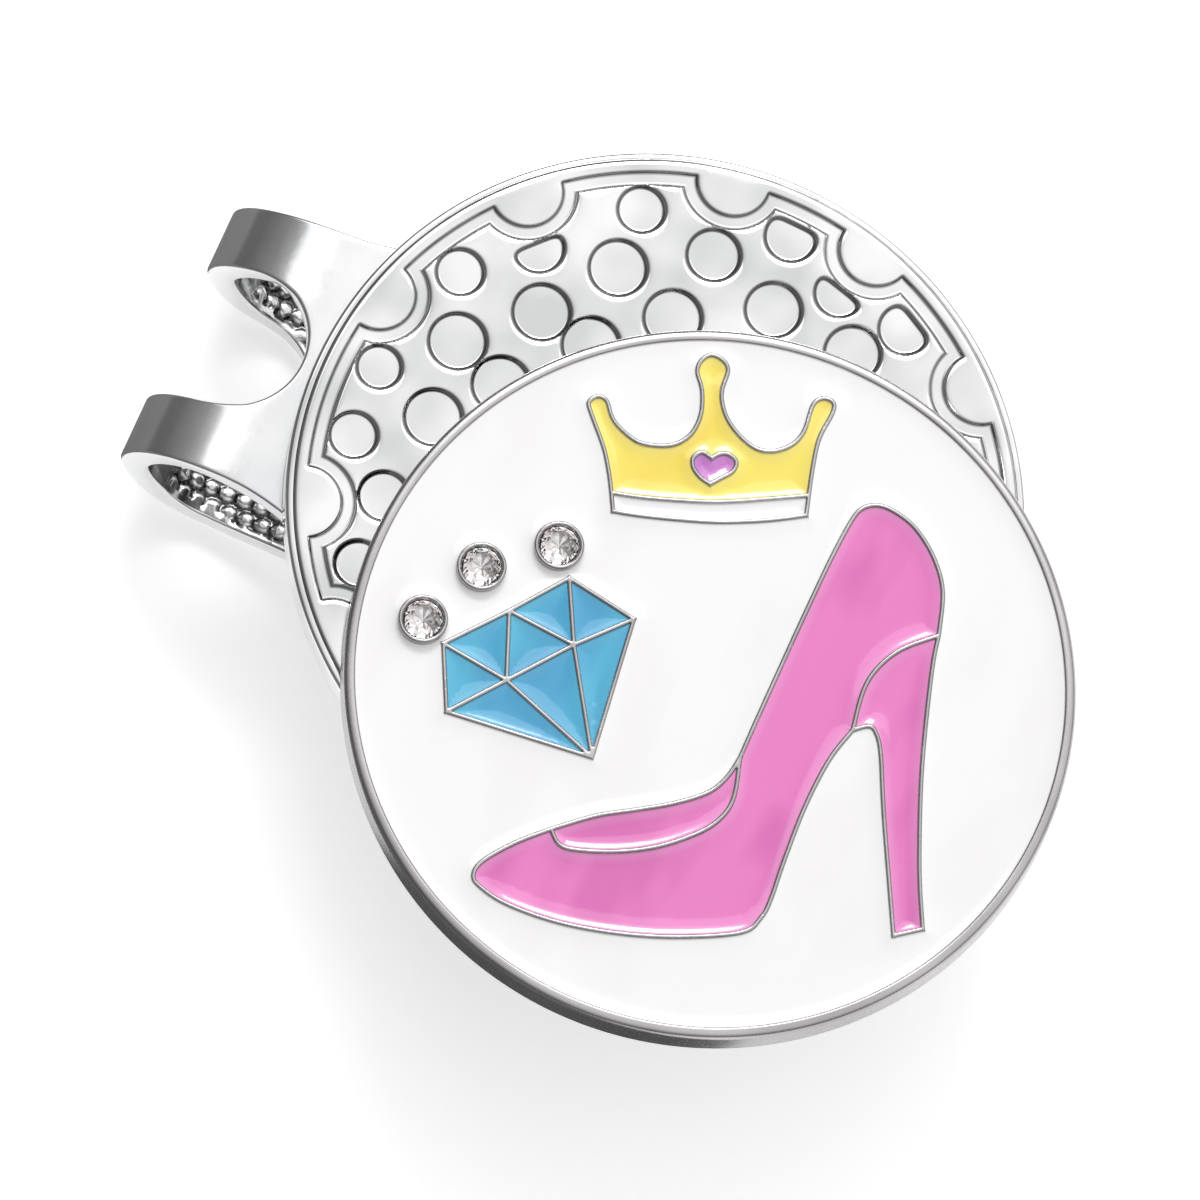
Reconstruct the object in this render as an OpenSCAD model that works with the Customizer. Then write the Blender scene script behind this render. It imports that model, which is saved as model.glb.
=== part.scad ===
// Magnetic golf ball marker on a spring hat clip.
// Origin: centre of the clip disc's front face, where the marker seats.
// +Z out of that face, +Y towards the fold of the spring.

/* [Clip disc] */
// Diameter of the clip disc
disc_d = 25.3; // [24:0.1:27]
// Thickness of the clip disc
disc_t = 1.5; // [1.4:0.1:2.2]
// Bevel round the disc's front edge
rim_bevel = 0.25; // [0.1:0.05:0.4]
// Outer radius of the groove inside the rim
groove_r = 11.9; // [11.2:0.1:12]
// Width of the groove
groove_w = 0.4; // [0.3:0.05:0.6]
// Depth of the groove
groove_depth = 0.15; // [0.1:0.05:0.25]
// Radius of the half-round lobes that the groove runs round
lobe_r = 1.3; // [1:0.1:1.5]
// Depth of the dimples
dimple_depth = 0.2; // [0.1:0.05:0.3]

/* [Magnet] */
// Diameter of the magnet
magnet_d = 10; // [6:0.5:12]
// Thickness of the magnet
magnet_t = 0.95; // [0.8:0.05:1]
// Thickness of the glue round the magnet and under the disc
glue_t = 0.05; // [0.03:0.01:0.1]

/* [Spring clip] */
// Thickness of the spring strip
sheet_t = 0.9; // [0.7:0.05:1]
// Distance from the disc's centre to the end of the fold
fold_y = 17.5; // [16:0.1:20]
// Outer height of the folded spring
fold_h = 6.45; // [5.5:0.05:7]
// Half the width across both straps
strap_half_w = 4.8; // [4:0.1:6]
// Half the width of the slot between the straps
slot_half_w = 2.5; // [2.2:0.1:2.8]
// Where the slot's round end is centred on the front plate
slot_y = 15.6; // [14.5:0.1:16]
// Gap between tongue and front plate where they come closest
pinch_gap = 0.8; // [0.4:0.1:1.5]
// Where along the tongue that place is
pinch_y = 2.5; // [0:0.5:4]
// Where the tongue's lip becomes flat
lip_y = -7.8; // [-8.5:0.1:-6]
// Length of the lip's flat land
lip_land = 1.5; // [1:0.1:2]
// Gap between the two halves of the spring at the fold
fold_gap = 0.05; // [0.02:0.01:0.1]

/* [Ball marker] */
// Diameter of the marker
mark_d = 25; // [24:0.1:26]
// Thickness of the marker at its rim
mark_t = 1.5; // [1.2:0.1:2]
// Width of the marker's metal rim
mark_rim_w = 0.4; // [0.3:0.05:0.7]
// Depth of the enamel beds below the rim
bed_depth = 0.4; // [0.2:0.05:0.6]
// How far the enamel stays below the metal lines
enamel_sink = 0.06; // [0.03:0.01:0.12]
// Width of the raised metal lines
line_w = 0.17; // [0.12:0.01:0.25]
// Where the marker sits off the disc's centre, along X
mark_x = -5.3; // [-6:0.1:0]
// Where the marker sits off the disc's centre, along Y
mark_y = -4.2; // [-5:0.1:0]
// Turn of the picture on the marker
art_turn = -66; // [-180:1:180]

/* [Crystals] */
// Outer radius of a stone's collar
collar_r = 0.86; // [0.8:0.02:1]
// Inner radius of a stone's collar
cup_r = 0.7; // [0.6:0.02:0.76]
// How far the collars stand above the rim
collar_rise = 0.2; // [0.1:0.05:0.4]
// Height of a stone from its point to its table
stone_h = 0.62; // [0.5:0.02:0.7]

/* [Hidden] */
$fn = 96;

// ---- Layers, from the marker down to the surface it rests on
plate_top = -disc_t - glue_t;
plate_under = plate_top - sheet_t;
ground = plate_top - fold_h;
fold_mid = (plate_top + ground) / 2 + 0.1;
pocket_depth = magnet_t + glue_t;

// ---- Relief of the disc
// Directions of the lobes round the rim, in degrees from +X
LOBES = [-44, -15, 11, 45.5, 76, 114, 137, 167, 197, 227, 256.5, 286.5];
// Dimples round the middle: radius from centre, direction, diameter
DIMPLES = [[10.6, 26.5, 1.6], [9.25, 11.5, 1.8], [8.2, -5.5, 1.9], [8.8, -26, 1.9],
    [8.6, 32.5, 1.95], [10.6, 63, 1.6], [7.9, 53.5, 1.95], [8.9, 73.5, 1.95],
    [10.6, 87, 1.5], [10.6, 101, 1.6], [8.2, 92, 1.95], [9.3, 112.5, 1.7],
    [10.4, 126, 1.6], [8.3, 131, 1.9], [10.5, 152, 1.8], [8.5, 147, 1.9],
    [10.5, 182, 1.8], [8.8, 166, 1.9], [8.4, 185, 1.9], [10.5, 212, 1.8],
    [8.8, 202, 1.9], [8.5, 219, 1.9], [10.5, 242, 1.8], [8.7, 236, 1.9],
    [8.5, 253, 1.9], [10.5, 271.5, 1.8], [8.5, 270, 1.8], [10.5, 301.5, 1.8],
    [8.7, 288, 1.9], [8.6, 311, 1.9], [6.8, 19, 1.95], [6.15, 45, 1.95],
    [6.8, 75, 1.95], [6.3, 103, 1.95], [6.1, 130, 1.95], [6.3, 158, 1.95],
    [6.2, 186, 1.95], [6.3, 213, 1.95], [6.3, 241, 1.95], [6.2, 268, 1.95],
    [6.3, 295, 1.95], [6.3, 322, 1.95], [6.1, 347, 1.9]];
// Dimples cut straight on the side of the rim: the same, then the cut's distance
FLAT_DIMPLES = [[10.8, -1.5, 1.8, 0.45], [10, -15, 1.7, 0.15], [10.75, -28.5, 1.8, 0.45],
    [10, 47.5, 1.8, 0.15]];
// Rings of dimples in the middle: radius, count, diameter
DIMPLE_RINGS = [[4.05, 10, 1.85], [2.1, 6, 1.7], [0, 1, 1.7]];

// ---- Curves
// A smooth curve through the points p, with n steps between each two
function spline(p, n = 4) = let (k = len(p) - 1, last = p[k])
    concat([for (i = [0:k - 1], j = [0:n - 1])
        blend(p[max(i - 1, 0)], p[i], p[i + 1], p[min(i + 2, k)], j / n)], [last]);
function blend(a, b, c, d, t) = 0.5 * (2 * b + (c - a) * t
    + (2 * a - 5 * b + 4 * c - d) * t * t + (3 * b - a - 3 * c + d) * t * t * t);
function backwards(p) = [for (i = [len(p) - 1:-1:0]) p[i]];
function after_first(p) = [for (i = [1:len(p) - 1]) p[i]];
function unit(v) = v / norm(v);
function side(v) = [-v[1], v[0]];
// Direction across the line p at its point i
function across(p, i) = side(unit(p[min(i + 1, len(p) - 1)] - p[max(i - 1, 0)]));
function shifted(p, d) = [for (i = [0:len(p) - 1]) p[i] + d * across(p, i)];
// The outline of a line of width w along p, which runs on by w / 2 at each end
function ribbon(p, w) = let (k = len(p) - 1, q = concat(
        [p[0] - w / 2 * unit(p[1] - p[0])], [for (i = [1:k - 1]) p[i]],
        [p[k] + w / 2 * unit(p[k] - p[k - 1])]))
    concat(shifted(q, w / 2), backwards(shifted(q, -w / 2)));
// A quarter of an ellipse with half axes a and b, pointed when power is under 2
function quarter(c, a, b, power, n = 10) = [for (i = [0:n]) let (t = 90 * i / n)
    c + [a * pow(sin(t), 2 / power), b * pow(cos(t), 2 / power)]];
function polar(r, t) = [r * cos(t), r * sin(t)];

// ---- Side view of the spring, as [Y, Z]
nose_top = quarter([fold_y - 2.6, fold_mid], 2.6, plate_top - fold_mid, 2);
nose_bottom = quarter([fold_y - 3.2, fold_mid], 3.2, ground - fold_mid, 2);
void_back = fold_y - 1.05;
void_top = quarter([void_back - 2.15, fold_mid], 2.15, plate_under - fold_mid, 1.7);
tongue_start = fold_y - 3.2;
void_bottom = quarter([tongue_start, fold_mid], void_back - tongue_start,
    ground + sheet_t - fold_mid, 1.7);
arch_h = plate_under - pinch_gap - sheet_t - ground;
function rise(y, from, to) = arch_h * (1 - cos(180 * (y - from) / (to - from))) / 2;
tongue_line = concat(
    [for (i = [0:12]) let (y = tongue_start + (pinch_y - tongue_start) * i / 12)
        [y, ground + rise(y, tongue_start, pinch_y)]],
    [for (i = [1:12]) let (y = pinch_y + (lip_y - pinch_y) * i / 12)
        [y, ground + rise(y, lip_y, pinch_y)]],
    [[lip_y - lip_land, ground]]);
plate_end = -8;

// ---- Outlines on the marker, in millimetres from its centre
crown_top = spline([[-3.3, 6], [-3.4, 7.1], [-3.6, 8.2], [-4.05, 9.5], [-4.1, 9.85],
    [-3.8, 10.05], [-3.5, 9.9], [-3.35, 9.4], [-3.1, 9], [-2.5, 8.5], [-1.85, 8.35],
    [-1.2, 8.4], [-0.7, 8.7], [-0.4, 9.15], [-0.25, 9.7], [-0.25, 10.4], [-0.4, 11],
    [-0.25, 11.4], [0.1, 11.6], [0.5, 11.4], [0.65, 11.05], [0.45, 10.4], [0.45, 9.9],
    [0.65, 9.3], [1.1, 8.7], [1.65, 8.3], [2.25, 8.25], [2.85, 8.5], [3.25, 9],
    [3.55, 9.9], [3.9, 10.15], [4.25, 10], [4.2, 9.6], [3.75, 8.7], [3.5, 7.5], [3.3, 6]], 3);
crown_foot = spline([[3.3, 6], [2, 5.8], [0.1, 5.7], [-2.2, 5.85], [-3.3, 6]], 2);
crown_band = spline([[-3.35, 6.65], [-2.2, 6.5], [0.1, 6.4], [2, 6.55], [3.4, 6.7]], 2);
heart_left = spline([[0.08, 7.95], [-0.25, 8.15], [-0.55, 7.95], [-0.55, 7.6],
    [-0.3, 7.25], [0.02, 7.03]], 3);
heart_right = spline([[0.02, 7.03], [0.4, 7.25], [0.8, 7.5], [0.92, 7.85], [0.65, 8.1],
    [0.35, 8.1], [0.08, 7.95]], 3);
CROWN_LINES = [crown_top, crown_foot, crown_band, heart_left, heart_right];

shoe_throat = [1, -2.6];
shoe_top_front = spline([[-5.45, -5.25], [-3.9, -4.75], [-2.5, -4.5], [-1.25, -4.25],
    [-0.1, -3.85], [0.55, -3.3], shoe_throat]);
shoe_top_back = spline([shoe_throat, [1.6, -1.2], [2.5, 0.85], [3.3, 2.65], [4.15, 4.5],
    [4.85, 5.85], [5.25, 6.3], [5.8, 6.4], [6.4, 6.15], [7.05, 5.6], [7.65, 4.6],
    [7.95, 3.4], [7.8, 1.85]]);
shoe_heel = spline([[7.8, 1.85], [7.55, 0.5], [7.2, -2.9], [7.1, -6.3], [7.2, -8.5]]);
shoe_tip = [[7.2, -8.5], [6.2, -8.75]];
shoe_heel_front = spline([[6.2, -8.75], [5.9, -4.6], [5.8, -2.4], [5.65, -1.65],
    [5.4, -1.4], [4.85, -1.55]]);
shoe_sole = spline([[4.85, -1.55], [4.05, -2.6], [3.2, -4.3], [2.45, -6.3], [2.05, -7.5],
    [1.7, -8.2], [1, -8.75], [-1.2, -8.95], [-3.3, -8.85], [-5.3, -8.5], [-7, -7.9],
    [-7.9, -7.3], [-8.1, -6.9], [-7.75, -6.4], [-6.65, -5.75], [-5.45, -5.25]]);
shoe_lining = spline([[-5.45, -5.25], [-5.2, -5.75], [-4.7, -5.95], [-3.4, -6],
    [-2.1, -5.85], [-0.95, -5.5], [0.1, -4.95], [0.75, -4.1], shoe_throat]);
shoe_seam = spline([[7.8, 1.85], [6.55, 1.35], [5.7, 0.65], [5.2, -0.2], [4.85, -1.55]]);
SHOE_LINES = [shoe_top_front, shoe_top_back, shoe_heel, shoe_tip, shoe_heel_front,
    shoe_sole, shoe_lining, shoe_seam];

GEM = [[-9.1, 1.2], [-6.85, 2.4], [-4.8, 3.6], [-2.6, 2.2], [-4.05, -2.7], [-9, -1.2],
    [-6.95, -0.05], [-4.65, 1.25]];
GEM_FACETS = [[0, 5, 6], [0, 6, 1], [1, 6, 7], [1, 7, 2], [2, 7, 3], [3, 7, 4],
    [4, 7, 6], [4, 6, 5]];
GEM_EDGES = [[0, 1], [1, 2], [2, 3], [3, 4], [4, 5], [5, 0], [0, 6], [5, 6], [1, 6],
    [4, 6], [6, 7], [1, 7], [2, 7], [3, 7], [4, 7]];
GEM_LINES = [for (e = GEM_EDGES) [GEM[e[0]], GEM[e[1]]]];
STONES = [[-9.8, 2], [-7.8, 3.9], [-5.15, 4.7]];

bed_z = mark_t - bed_depth;
enamel_top = mark_t - enamel_sink;
cup_z = mark_t + collar_rise - stone_h;

// ---- Clip disc
module lobes(grow) {
    for (a = LOBES) translate(polar(groove_r + 0.1, a)) circle(r = lobe_r + grow);
}

module groove_outline() {
    difference() {
        circle(r = groove_r);
        lobes(0);
        difference() {
            circle(r = groove_r - groove_w);
            lobes(groove_w);
        }
    }
}

module dimple(r, direction, d) {
    rotate(direction) translate([r, 0, -dimple_depth]) cylinder(d = d, h = 1);
}

module flat_dimple(r, direction, d, cut) {
    intersection() {
        dimple(r, direction, d);
        rotate(direction) translate([r + cut - 5, -5, -1]) cube([5, 10, 3]);
    }
}

module clip_disc() {
    color("gainsboro") difference() {
        union() {
            translate([0, 0, -disc_t]) cylinder(d = disc_d, h = disc_t - rim_bevel);
            translate([0, 0, -rim_bevel])
                cylinder(d1 = disc_d, d2 = disc_d - 2 * rim_bevel, h = rim_bevel);
        }
        translate([0, 0, -groove_depth]) linear_extrude(1) groove_outline();
        for (p = DIMPLES) dimple(p[0], p[1], p[2]);
        for (p = FLAT_DIMPLES) flat_dimple(p[0], p[1], p[2], p[3]);
        for (p = DIMPLE_RINGS, i = [1:p[1]]) dimple(p[0], 360 * i / p[1], p[2]);
        translate([0, 0, -disc_t - 1])
            cylinder(d = magnet_d + 2 * glue_t, h = 1 + pocket_depth);
    }
}

// ---- Magnet and what holds it
module magnet() {
    color("dimgray") translate([0, 0, -disc_t]) cylinder(d = magnet_d, h = magnet_t);
}

module magnet_glue() {
    color("khaki") translate([0, 0, -disc_t]) difference() {
        cylinder(d = magnet_d + 2 * glue_t, h = pocket_depth);
        translate([0, 0, -1]) cylinder(d = magnet_d, h = 1 + magnet_t);
    }
}

module bond_film() {
    color("silver") translate([0, 0, plate_top]) linear_extrude(glue_t) intersection() {
        circle(d = disc_d - 4);
        translate([-5, plate_end + 0.5]) square([10, 18]);
    }
}

// ---- Spring: one strip folded at +Y, split at the fold so that its tongue can open
module swept(profile) {
    rotate([90, 0, 90]) linear_extrude(disc_d, center = true) polygon(profile);
}

module slot(y) {
    translate([0, y]) circle(r = slot_half_w);
    translate([-slot_half_w, y]) square([2 * slot_half_w, 9]);
}

// Mirrors the outline of one edge onto both sides
module both_edges(edge) {
    polygon(concat(edge, backwards([for (p = edge) [-p[0], p[1]]])));
}

module plate_plan() {
    difference() {
        both_edges(spline([[strap_half_w, fold_y + 1], [strap_half_w, 15.5],
            [strap_half_w + 0.1, 13], [strap_half_w + 0.5, 11], [5.9, 8.5], [6, 5],
            [6, -4], [5.5, -6.5], [3.5, plate_end]]));
        slot(slot_y);
    }
}

module tongue_plan() {
    difference() {
        both_edges(spline([[strap_half_w, fold_y + 1], [strap_half_w, 14], [5, 11], [5.7, 7],
            [6.1, 2], [6, -3], [5.2, -7], [4.3, -8.6], [3, lip_y - lip_land]]));
        slot(slot_y - 0.6);
    }
}

module spring_front() {
    color("silver") intersection() {
        swept(concat([[plate_end, plate_under], [plate_end, plate_top]], nose_top,
            backwards(void_top)));
        translate([0, 0, fold_mid + fold_gap]) linear_extrude(fold_h) plate_plan();
    }
}

module spring_tongue() {
    color("silver") intersection() {
        swept(concat(backwards(nose_bottom), after_first(tongue_line),
            backwards(after_first(shifted(tongue_line, -sheet_t))), void_bottom));
        translate([0, 0, ground - 1]) linear_extrude(fold_h) tongue_plan();
    }
}

// ---- Ball marker
// Places a drawing of the marker's face where the marker sits
module on_marker(z = 0) {
    translate([mark_x, mark_y, z]) rotate(art_turn) children();
}

module lines(curves) {
    for (p = curves) polygon(ribbon(p, line_w));
}

module collars() {
    for (p = STONES) translate(p) circle(r = collar_r);
}

// The shape of each bed that enamel is poured into
module crown_area() { polygon(concat(crown_top, crown_foot)); }

module below_band() {
    polygon(concat(crown_band, [[6, 6.7], [6, 4], [-6, 4], [-6, 6.65]]));
}

module heart_area() { polygon(concat(heart_left, heart_right)); }

module field_bed() {
    difference() {
        circle(d = mark_d - 2 * mark_rim_w);
        crown_area();
        polygon(concat(shoe_top_front, shoe_top_back, shoe_heel, shoe_tip,
            shoe_heel_front, shoe_sole));
        polygon([for (i = [0:5]) GEM[i]]);
        collars();
        lines([crown_top, crown_foot, shoe_top_front, shoe_top_back, shoe_heel, shoe_tip,
            shoe_heel_front, shoe_sole]);
        lines([for (i = [0:5]) GEM_LINES[i]]);
    }
}

module crown_bed() {
    difference() {
        crown_area();
        below_band();
        heart_area();
        lines(CROWN_LINES);
    }
}

module band_bed() {
    difference() {
        intersection() {
            crown_area();
            below_band();
        }
        lines([crown_top, crown_foot, crown_band]);
    }
}

module heart_bed() {
    difference() {
        heart_area();
        lines([heart_left, heart_right]);
    }
}

module shoe_bed(outline) {
    difference() {
        polygon(outline);
        lines(SHOE_LINES);
    }
}

module upper_bed() {
    shoe_bed(concat(shoe_top_back, shoe_seam, shoe_sole, shoe_lining));
}

module lining_bed() { shoe_bed(concat(shoe_top_front, backwards(shoe_lining))); }

module heel_bed() {
    shoe_bed(concat(shoe_heel, shoe_tip, shoe_heel_front, backwards(shoe_seam)));
}

module gem_bed(facet) {
    difference() {
        polygon([for (i = facet) GEM[i]]);
        lines(GEM_LINES);
    }
}

// Fills a bed from its floor up to the height top
module fill(top) { linear_extrude(top - bed_z) children(); }

module marker_base() {
    color("silver") on_marker() difference() {
        union() {
            cylinder(d = mark_d, h = mark_t);
            linear_extrude(mark_t + collar_rise) collars();
        }
        translate([0, 0, bed_z]) {
            fill(2 * mark_t) field_bed();
            fill(2 * mark_t) crown_bed();
            fill(2 * mark_t) band_bed();
            fill(2 * mark_t) heart_bed();
            fill(2 * mark_t) upper_bed();
            fill(2 * mark_t) lining_bed();
            fill(2 * mark_t) heel_bed();
            for (facet = GEM_FACETS) fill(2 * mark_t) gem_bed(facet);
        }
        for (p = STONES) translate([p[0], p[1], cup_z]) cylinder(r = cup_r, h = 9);
    }
}

module enamel(tint) { color(tint) on_marker(bed_z) fill(enamel_top) children(); }

module enamel_field() { enamel("white") field_bed(); }
module enamel_crown() { enamel("khaki") crown_bed(); }
module enamel_crown_band() { enamel("white") band_bed(); }
module enamel_heart() { enamel("orchid") heart_bed(); }
module enamel_shoe_upper() { enamel("hotpink") upper_bed(); }
module enamel_shoe_lining() { enamel("hotpink") lining_bed(); }
module enamel_shoe_heel() { enamel("hotpink") heel_bed(); }
module enamel_gem(number) { enamel("skyblue") gem_bed(GEM_FACETS[number - 1]); }

// ---- Crystals: a cone below the girdle, a cut crown above it
girdle_r = cup_r - 0.02;
stone_outline = [[0, 0], [girdle_r, 0.36], [girdle_r, 0.42], [0.4, stone_h], [0, stone_h]];

module crystal(number) {
    color("white") on_marker(cup_z) translate(STONES[number - 1])
        rotate_extrude() polygon(stone_outline);
}

module crystal_glue() {
    color("lightgray") on_marker(cup_z) for (p = STONES) translate(p)
        rotate_extrude() polygon([[0, 0], [cup_r, 0], [cup_r, 0.36], [girdle_r, 0.36]]);
}

clip_disc();
magnet();
magnet_glue();
bond_film();
spring_front();
spring_tongue();
marker_base();
enamel_field();
enamel_crown();
enamel_crown_band();
enamel_heart();
enamel_shoe_upper();
enamel_shoe_lining();
enamel_shoe_heel();
enamel_gem(1);  // enamel_gem_1
enamel_gem(2);  // enamel_gem_2
enamel_gem(3);  // enamel_gem_3
enamel_gem(4);  // enamel_gem_4
enamel_gem(5);  // enamel_gem_5
enamel_gem(6);  // enamel_gem_6
enamel_gem(7);  // enamel_gem_7
enamel_gem(8);  // enamel_gem_8
crystal(1);  // crystal_left
crystal(2);  // crystal_middle
crystal(3);  // crystal_right
crystal_glue();
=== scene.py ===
"""Looks of a magnetic golf ball marker on a spring hat clip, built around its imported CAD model.

Lengths inside the shape functions are in millimetres, and new_piece() turns them into metres.
"""

import math

import bmesh
import bpy
import numpy as np
from mathutils import Matrix, Vector, geometry, kdtree


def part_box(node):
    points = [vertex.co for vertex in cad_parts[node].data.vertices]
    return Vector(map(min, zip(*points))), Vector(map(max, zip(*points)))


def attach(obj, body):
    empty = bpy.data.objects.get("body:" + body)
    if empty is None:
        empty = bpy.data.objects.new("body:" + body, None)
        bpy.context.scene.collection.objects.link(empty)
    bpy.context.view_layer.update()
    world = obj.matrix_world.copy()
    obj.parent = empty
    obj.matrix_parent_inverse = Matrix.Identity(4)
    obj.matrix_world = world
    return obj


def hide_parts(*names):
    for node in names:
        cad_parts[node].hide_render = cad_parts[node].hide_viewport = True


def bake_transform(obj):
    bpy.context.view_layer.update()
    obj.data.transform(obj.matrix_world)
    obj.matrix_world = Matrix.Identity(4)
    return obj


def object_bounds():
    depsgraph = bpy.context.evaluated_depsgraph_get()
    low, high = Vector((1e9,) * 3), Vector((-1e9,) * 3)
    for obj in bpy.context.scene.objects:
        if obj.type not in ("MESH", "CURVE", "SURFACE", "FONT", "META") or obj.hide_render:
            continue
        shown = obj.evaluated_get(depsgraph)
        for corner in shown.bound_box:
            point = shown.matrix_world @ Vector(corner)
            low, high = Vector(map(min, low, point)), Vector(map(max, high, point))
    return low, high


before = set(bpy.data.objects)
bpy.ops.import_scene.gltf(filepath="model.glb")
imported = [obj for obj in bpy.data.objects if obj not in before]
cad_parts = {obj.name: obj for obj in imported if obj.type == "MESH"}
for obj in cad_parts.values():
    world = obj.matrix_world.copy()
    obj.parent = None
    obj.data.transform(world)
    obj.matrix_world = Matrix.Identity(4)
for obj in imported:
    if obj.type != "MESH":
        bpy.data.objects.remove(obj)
cad_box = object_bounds()

MM = 0.001
OUTER_POINTS = 480  # points round each large disc
LARGE_R = 12  # a circle with a larger radius than this is a large disc
CORNER = math.radians(50)  # a sharper turn than this, or a third of it where a chord starts, stays sharp
TWIN_GAP = 0.01  # outline points closer than this become one
ON_EDGE = 1e-4  # a point closer to an outline than this lies on it


# ---- Outlines read from the CAD nodes

def chained(edges):
    """Closed loops of point numbers, from directed edges."""
    after = {}
    for a, b in edges:
        after.setdefault(a, []).append(b)
    loops = []
    while after:
        start = next(iter(after))
        loop = [start]
        while True:
            following = after[loop[-1]].pop()
            if not after[loop[-1]]:
                del after[loop[-1]]
            if following == start:
                break
            loop.append(following)
        loops.append(loop)
    return loops


def flat_loops(node, up=1):
    """Loops round the faces of a CAD node that look up (1) or down (-1), as {height: loops}.

    Seen from +Z, the face lies on the left of each loop. A height is counted along the way the face looks."""
    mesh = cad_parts[node].data
    places = [tuple(round(c / MM, 4) for c in v.co) for v in mesh.vertices]
    number, found = {}, {}
    for place in places:
        number.setdefault(place[:2], len(number))
    for face in mesh.polygons:
        if face.normal.z * up < 0.999:
            continue
        ring = [number[places[v][:2]] for v in face.vertices][::up]
        edges = found.setdefault(round(places[face.vertices[0]][2] * up, 3), {})
        for edge in zip(ring, ring[1:] + ring[:1]):
            if edges.pop(edge[::-1], None) is None:
                edges[edge] = True
    points = np.array(list(number))
    twin = np.arange(len(points))
    for edges in found.values():
        for a, b in edges:
            if twin[a] != twin[b] and math.dist(points[a], points[b]) < TWIN_GAP:
                twin[twin == twin[b]] = twin[a]
    for i in np.flatnonzero(np.bincount(twin) > 1):
        points[twin == i] = points[twin == i].mean(0)
    return {height: [points[loop][twin[loop] != np.roll(twin[loop], 1)] for loop in chained(edges)]
            for height, edges in found.items()}


def area(loop):
    """Area inside a loop, negative when it runs clockwise."""
    x, y = loop[:, 0], loop[:, 1]
    return 0.5 * np.sum(x * np.roll(y, -1) - y * np.roll(x, -1))


def circle_of(loop):
    """Centre and radius of the circle that a loop follows, or None."""
    gaps = np.hypot(*(np.roll(loop, -1, 0) - loop).T)
    if len(loop) < 16 or gaps.max() > 2 * gaps.min():
        return None
    terms = np.column_stack([2 * loop, np.ones(len(loop))])
    x, y, c = np.linalg.lstsq(terms, (loop ** 2).sum(1), rcond=None)[0]
    r = math.sqrt(c + x * x + y * y)
    away = np.abs(np.hypot(loop[:, 0] - x, loop[:, 1] - y) - r).max()
    return (x, y, r) if away < 0.004 else None


def refined(loop, step, softer=0):
    """A smooth loop through the same points, no further apart than step, with its corners kept.

    Rounds of softening take the corners off a loop that has only two, such as a cut circle."""
    circle = circle_of(loop)
    if circle:
        x, y, r = circle
        count = OUTER_POINTS if r > LARGE_R else max(24, math.ceil(2 * math.pi * r / step))
        turn = np.arange(count) / count * 2 * math.pi * math.copysign(1, area(loop))
        return np.column_stack([x + r * np.cos(turn), y + r * np.sin(turn)])
    ahead = np.roll(loop, -1, 0) - loop
    length = np.hypot(*ahead.T)
    heading = np.arctan2(ahead[:, 1], ahead[:, 0])
    turn = (heading - np.roll(heading, 1) + math.pi) % (2 * math.pi) - math.pi
    before = np.roll(length, 1)
    slope = (ahead + np.roll(ahead, 1, 0)) / (length + before)[:, None]
    uneven = np.maximum(length, before) > 3 * np.minimum(length, before)
    sharp = np.abs(turn) > np.where(uneven, CORNER / 3, CORNER)
    points = []
    for i, (a, d, n) in enumerate(zip(loop, ahead, length)):
        j = (i + 1) % len(loop)
        leave = d if sharp[i] else slope[i] * n
        arrive = d if sharp[j] else slope[j] * n
        for t in np.arange(math.ceil(n / step)) / math.ceil(n / step):
            points.append(a + d * t * t * (3 - 2 * t) + leave * t * (1 - t) ** 2 - arrive * t * t * (1 - t))
    points = np.array(points)
    for _ in range(softer if np.count_nonzero(sharp) == 2 else 0):
        points = (np.roll(points, 1, 0) + 2 * points + np.roll(points, -1, 0)) / 4
    return points


def inward(loop):
    """Unit vectors to the left of a loop at its points, longer at a corner so that edges shift evenly."""
    ahead = np.roll(loop, -1, 0) - loop
    ahead /= np.maximum(np.hypot(*ahead.T), 1e-9)[:, None]
    mean = ahead + np.roll(ahead, 1, 0)
    size = np.hypot(*mean.T)
    mean /= np.maximum(size, 0.5)[:, None] ** 2 / 2
    return np.column_stack([-mean[:, 1], mean[:, 0]])


# ---- Triangles inside outlines, fine near the edges

class Shore:
    """The distance from any point to the nearest edge of some loops."""

    def __init__(self, loops, spacing=0.05):
        starts, ends = [], []
        for loop in loops:
            for a, b in zip(loop, np.roll(loop, -1, 0)):
                n = max(1, math.ceil(np.hypot(*(b - a)) / spacing))
                t = np.arange(n + 1)[:, None] / n
                line = a + (b - a) * t
                starts.append(line[:-1])
                ends.append(line[1:])
        self.a, self.b = np.vstack(starts), np.vstack(ends)
        self.tree = kdtree.KDTree(len(self.a))
        for i, p in enumerate(self.a):
            self.tree.insert((p[0], p[1], 0), i)
        self.tree.balance()
        before = {tuple(np.round(p, 7)): i for i, p in enumerate(self.b)}
        self.behind = np.array([before.get(tuple(np.round(p, 7)), i) for i, p in enumerate(self.a)])

    def distance(self, points):
        near = np.array([self.tree.find((p[0], p[1], 0))[1] for p in points], int)
        best = np.full(len(points), 1e9)
        for i in (near, self.behind[near]):
            a, ab = self.a[i], self.b[i] - self.a[i]
            t = np.clip(((points - a) * ab).sum(1) / np.maximum((ab ** 2).sum(1), 1e-12), 0, 1)
            best = np.minimum(best, np.hypot(*(points - a - ab * t[:, None]).T))
        return best


def lattice(low, high, pitch):
    """Points on a triangular lattice that covers a rectangle."""
    xs = np.arange(low[0] + 0.4 * pitch, high[0], pitch)
    ys = np.arange(low[1] + 0.4 * pitch, high[1], pitch * 0.866)
    x, y = np.meshgrid(xs, ys)
    x = x + (np.arange(len(ys)) % 2 * pitch / 2)[:, None]
    return np.column_stack([x.ravel(), y.ravel()])


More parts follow.
